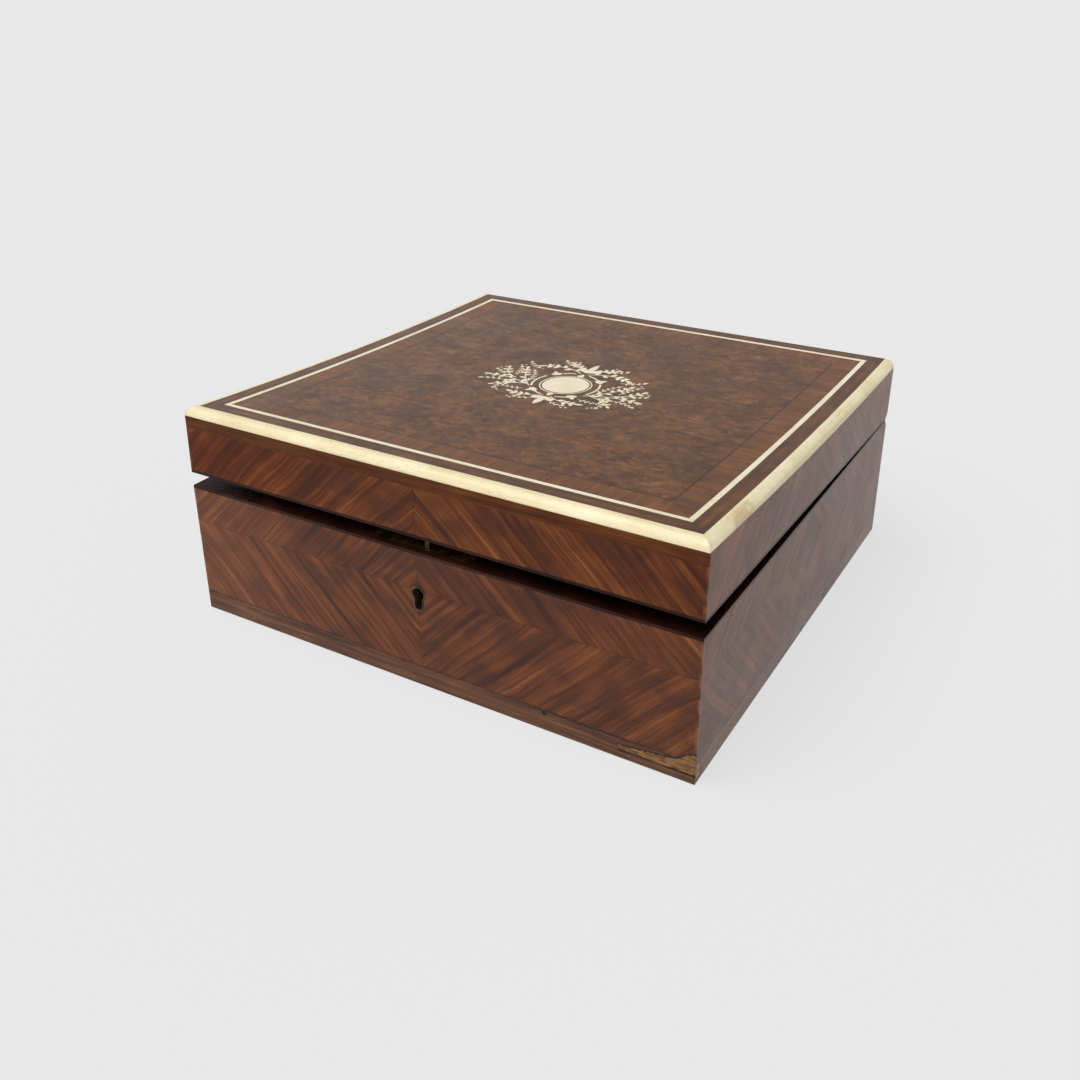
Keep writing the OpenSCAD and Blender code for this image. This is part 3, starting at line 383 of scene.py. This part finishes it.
matched_veneer("matched_base_fronts", ("base_front_veneer", "base_back_veneer"), False, False, 1.0)
matched_veneer("matched_base_sides", ("base_left_veneer", "base_right_veneer"), False, True, 4.0)
matched_veneer("matched_lid_fronts", ("lid_front_veneer", "lid_back_veneer"), True, False, 7.0)
matched_veneer("matched_lid_sides", ("lid_left_veneer", "lid_right_veneer"), True, True, 10.0)
straight_wood("foot_banding", ("base_foot_banding",), False, FOOT_BROWN, losses=True)
straight_wood("lid_banding", ("lid_front_banding",), True, LID_BROWN, ior=LID_POLISH)
straight_wood("base_rim", ("base_rim_facing",), False, RIM_BROWN_SHADED, gloss=0.26, ior=RIM_POLISH)
straight_wood("lid_rim", ("lid_rim_facing",), True, RIM_BROWN_SHADED, gloss=0.26, ior=RIM_POLISH)
board("boards_base_long", ("base_front_wall", "base_back_wall", "base_bottom_board"), False, True, 2.0)
board("boards_base_short", ("base_left_wall", "base_right_wall"), False, False, 5.0)
board("boards_lid_long", ("lid_front_rail", "lid_back_rail", "lid_top_board"), True, True, 8.0)
board("boards_lid_short", ("lid_left_rail", "lid_right_rail"), True, False, 11.0)
burr(("top_burr_field",))
top_strip("dark_line", ("top_dark_line",), False,
          ((0.4, rgb(40, 22, 12)), (0.6, rgb(64, 38, 20))))
top_strip("crossbanding", ("top_crossbanding",), True, TOP_BROWN)
top_strip("outer_banding", ("top_outer_banding",), False, EDGE_BROWN)


# Bone

OLD_BONE = ((0.34, rgb(232, 212, 164)), (0.46, rgb(242, 226, 182)), (0.58, rgb(248, 235, 196)), (0.70, rgb(252, 243, 212)))
PALE_BONE = ((0.34, rgb(236, 220, 182)), (0.46, rgb(245, 232, 200)), (0.58, rgb(250, 240, 212)), (0.70, rgb(253, 247, 226)))


def bone(name, nodes, sideways=None, stained=False, stops=OLD_BONE):
    """Aged bone: cream, with fine canals along its length, yellowing and hairline cracks; on the edging, painted
    shade along the lower side of its roll.
    """
    f = Finish(name, True)
    long, wide = (f.y, f.x) if sideways else (f.x, f.y)
    canal = f.noise(long / 16, wide / 0.45, f.z / 0.45, detail=3.0, roughness=0.6)
    age = f.noise(f.x / 20, f.y / 20, f.z / 14, detail=3.0)
    speck = f.step(f.noise(long / 2.4, wide / 0.30, f.z / 0.30, detail=1.0), 0.64, 0.76)
    colour = f.ramp(canal * 0.45 + age * 0.55, *stops)
    colour = f.mix(speck * 0.16, colour, rgb(186, 154, 104))
    crack = f.step(abs(f.noise(long / 9, (wide + f.z) / 3, 14.0, detail=3.0) - 0.5), 0.007, 0.001) * 0.35
    colour = f.mix(crack, colour, rgb(150, 112, 70))
    if sideways is not None:
        # Darker at the strips' ends, and painted shade along the lower side of the roll.
        end = f.step(abs(long), HALF_WIDTH - 3.0 if not sideways else HALF_DEPTH - 3.0, HALF_WIDTH)
        painted_shade_below = f.step(f.z, 104.6, 103.2)
        colour = f.mix((painted_shade_below * 0.30).high(end * 0.20), colour, rgb(180, 146, 96))
    if stained:
        spot = f.noise(f.x / 3, f.y / 5, 17.0, detail=3.0)
        far = abs(f.y + 98.0) / 16.0 + (spot - 0.5) * 1.6
        colour = f.mix(f.step(far, 0.9, 0.2) * f.step(f.x, 134.0, 138.5) * 0.55, colour, rgb(190, 150, 86))
    roughness = canal * 0.16 + age * 0.10 + 0.24
    return f.surface(colour, roughness, canal * 0.02 - speck * 0.012 - crack * 0.04, IOR=1.5,
                     Subsurface_Weight=0.08, Subsurface_Scale=0.0015).on(*nodes)


bone("bone_front", ("front_bone_edging",), sideways=False)
bone("bone_sides", ("left_bone_edging", "right_bone_edging"), sideways=True, stained=True)
inlay_bone = bone("bone_inlay", ("top_stringing", "inlay_cartouche", "inlay_rings", "inlay_foliage"), stops=PALE_BONE)


# Fine sprays let in between the larger foliage of the inlay

TOP_Z, TOP_SAG, ARC_Y, ARC_HALF = 107.8, 2.4, 2.7, 130.3      # the hollow top
PROUD, SUNK = 0.04, 0.30
# On the right half, from the inlay's middle: foot, heading, length, bend, pairs of leaves, leaf length
SPRAYS = (
    (20.6, -4.5, 88, 17, -34, 5, 2.7), (31.2, 0.6, 78, 14, -14, 4, 2.6), (37.6, -1.0, 38, 9, -8, 3, 2.4),
    (32.4, -9.6, 4, 13, -38, 4, 2.7), (16.4, -16.4, -22, 15, 44, 5, 2.6), (29.6, -14.0, -64, 9, -40, 3, 2.5),
    (24.0, 17.5, 8, 13, 46, 4, 2.7), (7.6, 29.4, 4, 13, 52, 4, 2.6), (5.6, -26.4, -48, 9, 60, 3, 2.4))
BERRIES = (
    (43.5, 9.5), (45.4, 7.6), (43.9, -5.6), (45.9, -7.2), (22.5, 26.6), (24.7, 25.8), (17.4, -31.0), (15.2, -32.0),
    (27.0, -25.6), (28.6, -24.2), (11.6, 37.6), (13.6, 36.4), (37.6, 16.8), (35.8, 18.6))


def lid_point(x, y, z):
    """A place in mm on the shut box, as it is at rest with the lid ajar, in metres."""
    hinge = Vector((0, HINGE_Y, HINGE_Z))
    return (Matrix.Rotation(-AJAR, 3, "X") @ (Vector((x, y, z)) - hinge) + hinge) * 0.001


def add_piece(name, points, faces, finish, body):
    """A new mesh that rides on a body."""
    mesh = bpy.data.meshes.new(name)
    mesh.from_pydata(points, [], faces)
    mesh.materials.append(finish.material)
    piece = bpy.data.objects.new(name, mesh)
    bpy.context.scene.collection.objects.link(piece)
    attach(piece, body)
    return piece


def inlay_sprays():
    """Small leaves, thin stems and berries of bone, level with the top."""
    arc_r = (ARC_HALF ** 2 + TOP_SAG ** 2) / (2 * TOP_SAG)
    points, faces = [], []

    def plate(outline):
        first, count = len(points), len(outline)
        for drop in (PROUD, -SUNK):
            for x, y in outline:
                y += ARC_Y
                z = TOP_Z - TOP_SAG + (y - ARC_Y) ** 2 / (2 * arc_r) + drop
                points.append(lid_point(x, y, z))
        faces.append(tuple(range(first, first + count)))
        faces.append(tuple(range(first + 2 * count - 1, first + count - 1, -1)))
        for i in range(count):
            a, b = first + i, first + (i + 1) % count
            faces.append((a, a + count, b + count, b))

    def placed(outline, x, y, angle):
        c, s = math.cos(angle), math.sin(angle)
        right = [(x + u * c - v * s, y + u * s + v * c) for u, v in outline]
        plate(right)
        plate([(-u, v) for u, v in reversed(right)])

    def leaf(length):
        lower = [(length * i / 8, -0.22 * length * math.sin(math.pi * (i / 8) ** 0.85)) for i in range(9)]
        return lower + [(u, -v) for u, v in lower[-2:0:-1]]

    for x, y, heading, length, bend, pairs, size in SPRAYS:
        steps = 4 * pairs
        angle, places = math.radians(heading), []
        for i in range(steps + 1):
            places.append((x, y, angle))
            x, y = x + length / steps * math.cos(angle), y + length / steps * math.sin(angle)
            angle += math.radians(bend) / steps
        for (x0, y0, a0), (x1, y1, a1) in zip(places, places[1:]):
            run = math.hypot(x1 - x0, y1 - y0)
            placed([(0, -0.17), (run, -0.17), (run, 0.17), (0, 0.17)], x0, y0, a0)
        for pair in range(1, pairs + 1):
            px, py, pa = places[min(4 * pair - 1, steps)]
            for side in (-1, 1):
                shrink = 1 - 0.07 * pair
                if side > 0:
                    px, py, pa = places[min(4 * pair, steps)]
                placed(leaf(size * shrink), px, py, pa + side * math.radians(54))
        placed(leaf(size), *places[-1])
    for x, y in BERRIES:
        placed([(0.62 * math.cos(2 * math.pi * i / 12), 0.62 * math.sin(2 * math.pi * i / 12)) for i in range(12)],
               x, y, 0.0)
    add_piece("inlay_sprays", points, faces, inlay_bone, "lid")


inlay_sprays()


# Metals

def metal(name, nodes, on_lid, bright, dull, dark, patina):
    """Worn metal: brushed one way, brighter where rubbed, dark in patches."""
    f = Finish(name, on_lid)
    brush = f.noise(f.x / 6, f.y / 0.25, f.z / 0.25, detail=3.0, roughness=0.6)
    cloud = f.noise(f.x / 6, f.y / 6, f.z / 6, detail=4.0, roughness=0.6)
    pits = f.step(f.noise(f.x / 0.8, f.y / 0.8, f.z / 0.8, detail=2.0), 0.62, 0.74)
    colour = f.ramp(cloud * 0.7 + brush * 0.3, (0.36, dark), (0.48, dull), (0.62, bright))
    colour = f.mix(pits * 0.6, colour, dark)
    f.surface(colour, cloud * 0.25 + brush * 0.15 + patina, brush * 0.02 - pits * 0.03, Metallic=1.0).on(*nodes)


BRASS = (rgb(206, 172, 100), rgb(168, 132, 72), rgb(92, 70, 40))
OLD_BRASS = (rgb(124, 106, 78), rgb(88, 74, 54), rgb(46, 39, 29))
STEEL = (rgb(176, 174, 170), rgb(132, 129, 124), rgb(70, 64, 58))

metal("brass_base", ("lock_plate", "lock_cap", "lock_pillars", "lock_bolt", "lock_screws",
                     "left_hinge_base_leaf", "right_hinge_base_leaf", "hinge_base_screws"), False, *BRASS, 0.22)
metal("brass_lid", ("left_hinge_lid_leaf", "right_hinge_lid_leaf", "hinge_lid_screws"), True, *BRASS, 0.22)
metal("brass_staple", ("lock_link_plate", "link_plate_screws"), True, *OLD_BRASS, 0.30)
metal("brass_tarnished", ("escutcheon",), False, *OLD_BRASS, 0.32)
metal("steel_base", ("lock_drill_pin", "lock_spring"), False, *STEEL, 0.28)
metal("steel_hinge", ("left_hinge_pin", "right_hinge_pin"), False, *STEEL, 0.28)


# Silk pads

def silk(name, on_lid):
    """Faded silk: a fine rib, loose slubs, and colour faded in broad patches."""
    f = Finish(name, on_lid)
    rib = f.node("ShaderNodeMath", (f.x * (2 * math.pi / 0.55),), operation="SINE")
    weft = f.node("ShaderNodeMath", (f.y * (2 * math.pi / 0.42),), operation="SINE")
    slub = f.step(f.noise(f.x / 18, f.y / 0.40, 3.0, detail=2.0), 0.56, 0.70)
    fade = f.noise(f.x / 42, f.y / 42, 5.0, detail=4.0)
    thread = f.noise(f.x / 0.5, f.y / 9, 9.0, detail=2.0)
    colour = f.ramp(fade * 0.45 + thread * 0.55, (0.36, rgb(112, 28, 36)), (0.48, rgb(132, 38, 45)),
                    (0.60, rgb(148, 52, 56)), (0.72, rgb(166, 76, 72)))
    colour = f.mix(slub * 0.22, colour, rgb(186, 108, 98))
    height = rib * 0.014 + weft * 0.010 + slub * 0.02 + thread * 0.02
    return f.surface(colour, fade * 0.15 + thread * 0.10 + 0.26, height, Sheen_Weight=0.25,
                     Sheen_Roughness=0.35, Anisotropic=0.35, IOR=1.5)


def ripple(run, away, reach, wave, size):
    """Small gathers that run in from an edge: run is along it, away the distance from it, all in mm."""
    return size * math.exp(-away / reach) * (math.sin(run * 2 * math.pi / wave)
                                             + 0.6 * math.sin(run * 2 * math.pi / (wave * 1.618) + 1.3))


def pad(name, half_x, half_y, back_z, front_z, height_at, body, node, finish, turn=0.0):
    """A closed pad between the flat back_z and front_z, in mm; height_at gives 0 to 1 for a place on its face."""
    step = 1.6
    count_x, count_y = int(2 * half_x / step), int(2 * half_y / step)

    def station(i, count, half):
        # Rows close up towards the rolled edges
        t = -1 + 2 * i / count
        return half * (1.35 * t - 0.35 * t ** 3) / 1.0

    verts, faces = [], []
    deep = front_z - back_z
    for layer in (0, 1):
        for j in range(count_y + 1):
            for i in range(count_x + 1):
                x, y = station(i, count_x, half_x), station(j, count_y, half_y)
                pull = 0.9 * (1 - (abs(y) / half_y) ** 4) * (abs(x) / half_x) ** 30
                pull_y = 0.9 * (1 - (abs(x) / half_x) ** 4) * (abs(y) / half_y) ** 30
                px, py = x - math.copysign(pull, x), y - math.copysign(pull_y, y)
                z = back_z if layer == 0 else back_z + deep * height_at(x, y)
                verts.append((px, py, z))
    width = count_x + 1
    size = width * (count_y + 1)
    flip = deep < 0
    for j in range(count_y):
        for i in range(count_x):
            a = j * width + i
            bottom = (a, a + width, a + width + 1, a + 1)
            top = tuple(size + k for k in (a, a + 1, a + width + 1, a + width))
            faces += [bottom[::-1] if flip else bottom, top[::-1] if flip else top]
    rim = [i for i in range(width)] + [j * width + count_x for j in range(1, count_y + 1)] \
        + [count_y * width + i for i in range(count_x - 1, -1, -1)] + [j * width for j in range(count_y - 1, 0, -1)]
    for a, b in zip(rim, rim[1:] + rim[:1]):
        side = (a, b, size + b, size + a)
        faces.append(side[::-1] if flip else side)
    hinge = Vector((0, HINGE_Y, HINGE_Z))
    swing = Matrix.Rotation(-turn, 3, "X")
    mesh = bpy.data.meshes.new(name)
    mesh.from_pydata([(swing @ (Vector(v) - hinge) + hinge) * 0.001 for v in verts], [], faces)
    mesh.materials.append(finish.material)
    mesh.shade_smooth()
    piece = bpy.data.objects.new(name, mesh)
    bpy.context.scene.collection.objects.link(piece)
    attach(piece, body)
    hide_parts(node)
    return piece


def rolled(away, radius):
    """Height from 0 to 1 of a rounded edge, at a distance from it in mm."""
    t = min(max(away / radius, 0.0), 1.0)
    return math.sqrt(max(0.0, 1 - (1 - t) ** 2))


FLOOR_HALF_X, FLOOR_HALF_Y, FLOOR_BACK, FLOOR_FACE = 128.4, 121.4, 6.35, 11.3
LID_HALF_X, LID_HALF_Y, LID_BACK, LID_FACE = 128.4, 121.4, 97.85, 91.9
QUILT_X, QUILT_Y = 42.8, 40.4      # spacing of the lid pad's buttons, row to row
QUILT_ROUND = 0.55
SEAM_IN = 9.0                      # the floor pad's seam, in from its edge


def floor_height(x, y):
    """The floor pad: a rolled edge with gathers, a seam line inside it, and a low crown."""
    ax, ay = FLOOR_HALF_X - abs(x), FLOOR_HALF_Y - abs(y)
    away = min(ax, ay)
    run = y if ax < ay else x
    seam = 0.34 * math.exp(-((away - SEAM_IN) / 1.3) ** 2)
    crown = 0.72 + 0.20 * rolled(away - SEAM_IN, 70.0)
    wave = 0.02 * math.sin(x / 23.0 + 0.7) * math.sin(y / 19.0)
    return rolled(away, 3.4) * (crown - seam + wave + ripple(run, abs(away - SEAM_IN), 6.0, 7.0, 0.060))


def lid_height(x, y):
    """The lid pad: diamonds drawn down by buttons, with creases between them and a rolled edge."""
    u, v = x / QUILT_X, y / QUILT_Y
    a, b = u + v, u - v
    from_crease = min(abs(a - round(a)), abs(b - round(b))) * QUILT_X * 0.7
    nearest_a, nearest_b = a - round(a), b - round(b)
    from_button = math.hypot(nearest_a, nearest_b) * QUILT_X * 0.7
    puff = rolled(from_crease, 15.0) ** QUILT_ROUND
    away = min(LID_HALF_X - abs(x), LID_HALF_Y - abs(y))
    fold = ripple(math.atan2(nearest_b, nearest_a) * 9.0, from_button, 6.0, 6.3, 0.05)
    return rolled(away, 3.2) * (0.30 + 0.62 * puff * rolled(from_button, 12.0) + fold * rolled(from_button, 3.0))


silk_base, silk_lid = silk("silk_base", False), silk("silk_lid", True)
floor_pad = pad("floor_pad_silk", FLOOR_HALF_X, FLOOR_HALF_Y, FLOOR_BACK, FLOOR_FACE, floor_height,
                "base", "base_floor_pad", silk_base)
lid_pad = pad("lid_pad_silk", LID_HALF_X, LID_HALF_Y, LID_BACK, LID_FACE, lid_height,
              "lid", "lid_pad", silk_lid, AJAR)


def buttons():
    """Covered buttons where the lid pad's creases cross."""
    verts, faces = [], []
    rings, turns, radius, proud = 5, 18, 3.2, 1.5
    back = LID_BACK + (LID_FACE - LID_BACK) * 0.32
    for p in range(-7, 8):
        for q in range(-7, 8):
            x, y = (p + q) / 2 * QUILT_X, (p - q) / 2 * QUILT_Y
            if abs(x) > LID_HALF_X - 9 or abs(y) > LID_HALF_Y - 9:
                continue
            first = len(verts)
            for r in range(rings + 1):
                lean = math.pi / 2 * r / rings
                for t in range(turns):
                    way = 2 * math.pi * t / turns
                    pleat = 1 + 0.03 * math.cos(way * 6) * math.cos(lean)
                    verts.append((x + radius * pleat * math.cos(lean) * math.cos(way),
                                  y + radius * pleat * math.cos(lean) * math.sin(way),
                                  back - proud * math.sin(lean)))
            for r in range(rings):
                for t in range(turns):
                    a, b = first + r * turns + t, first + r * turns + (t + 1) % turns
                    faces.append((a, a + turns, b + turns, b))
            faces.append(tuple(first + t for t in range(turns)))
    hinge = Vector((0, HINGE_Y, HINGE_Z))
    swing = Matrix.Rotation(-AJAR, 3, "X")
    mesh = bpy.data.meshes.new("lid_pad_buttons")
    mesh.from_pydata([(swing @ (Vector(v) - hinge) + hinge) * 0.001 for v in verts], [], faces)
    mesh.materials.append(silk_lid.material)
    mesh.shade_smooth()
    piece = bpy.data.objects.new("lid_pad_buttons", mesh)
    bpy.context.scene.collection.objects.link(piece)
    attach(piece, "lid")


buttons()


# Camera, floor and light

def add_camera():
    back = Vector((math.sin(AZIMUTH) * math.cos(ELEVATION), -math.cos(AZIMUTH) * math.cos(ELEVATION),
                   math.sin(ELEVATION)))
    level = Vector((math.cos(AZIMUTH), math.sin(AZIMUTH), 0.0))
    upright = back.cross(level)
    right = level * math.cos(ROLL) + upright * math.sin(ROLL)
    up = upright * math.cos(ROLL) - level * math.sin(ROLL)
    data = bpy.data.cameras.new("camera")
    data.sensor_width, data.lens, data.shift_y = 36.0, LENS, SHIFT_Y
    data.clip_start, data.clip_end = 0.01, 200.0
    camera = bpy.data.objects.new("camera", data)
    place = AIM + right * ASIDE + up * ABOVE + back * DISTANCE
    camera.matrix_world = Matrix.Translation(place) @ Matrix((right, up, back)).transposed().to_4x4()
    bpy.context.scene.collection.objects.link(camera)
    bpy.context.scene.camera = camera


def add_floor():
    reach = 40.0
    mesh = bpy.data.meshes.new("floor")
    mesh.from_pydata([(-reach, -reach, 0), (reach, -reach, 0), (reach, reach, 0), (-reach, reach, 0)], [],
                     [(0, 1, 2, 3)])
    material = bpy.data.materials.new("floor")
    material.use_nodes = True
    tree = material.node_tree
    tree.nodes.remove(tree.nodes["Principled BSDF"])
    glow, matt = tree.nodes.new("ShaderNodeEmission"), tree.nodes.new("ShaderNodeBsdfDiffuse")
    both = tree.nodes.new("ShaderNodeMixShader")
    glow.inputs["Color"].default_value = (1.0, 1.0, 1.0, 1.0)
    glow.inputs["Strength"].default_value = FLOOR_GLOW
    matt.inputs["Color"].default_value = (0.80, 0.80, 0.80, 1.0)
    both.inputs[0].default_value = FLOOR_SHADE
    tree.links.new(glow.outputs[0], both.inputs[1])
    tree.links.new(matt.outputs[0], both.inputs[2])
    tree.links.new(both.outputs[0], tree.nodes["Material Output"].inputs["Surface"])
    mesh.materials.append(material)
    floor = bpy.data.objects.new("floor", mesh)
    bpy.context.scene.collection.objects.link(floor)


def add_light():
    world = bpy.data.worlds.new("room")
    world.use_nodes = True
    tree = world.node_tree
    place, split = tree.nodes.new("ShaderNodeTexCoord"), tree.nodes.new("ShaderNodeSeparateXYZ")
    fall = tree.nodes.new("ShaderNodeMapRange")
    fall.interpolation_type = "SMOOTHSTEP"
    for key, value in zip(range(1, 5), (LOW_TO, HIGH_FROM, LOW_LIGHT, HIGH_LIGHT)):
        fall.inputs[key].default_value = value
    tree.links.new(place.outputs["Generated"], split.inputs[0])
    tree.links.new(split.outputs["Z"], fall.inputs[0])
    path, seen = tree.nodes.new("ShaderNodeLightPath"), tree.nodes.new("ShaderNodeMix")
    seen.inputs["B"].default_value = BACKDROP
    tree.links.new(path.outputs["Is Camera Ray"], seen.inputs["Factor"])
    tree.links.new(fall.outputs[0], seen.inputs["A"])
    tree.links.new(seen.outputs[0], tree.nodes["Background"].inputs["Strength"])
    tree.nodes["Background"].inputs["Color"].default_value = (1.0, 1.0, 1.0, 1.0)
    bpy.context.scene.world = world
    data = bpy.data.lights.new("sun", "SUN")
    data.energy, data.angle = SUN_STRENGTH, SUN_WIDTH
    sun = bpy.data.objects.new("sun", data)
    toward = Vector((math.sin(SUN_AZIMUTH) * math.cos(SUN_HEIGHT), -math.cos(SUN_AZIMUTH) * math.cos(SUN_HEIGHT),
                     math.sin(SUN_HEIGHT)))
    sun.rotation_euler = toward.to_track_quat("Z", "Y").to_euler()
    bpy.context.scene.collection.objects.link(sun)


add_camera()
add_floor()
add_light()
bpy.context.scene.view_settings.view_transform = "Standard"
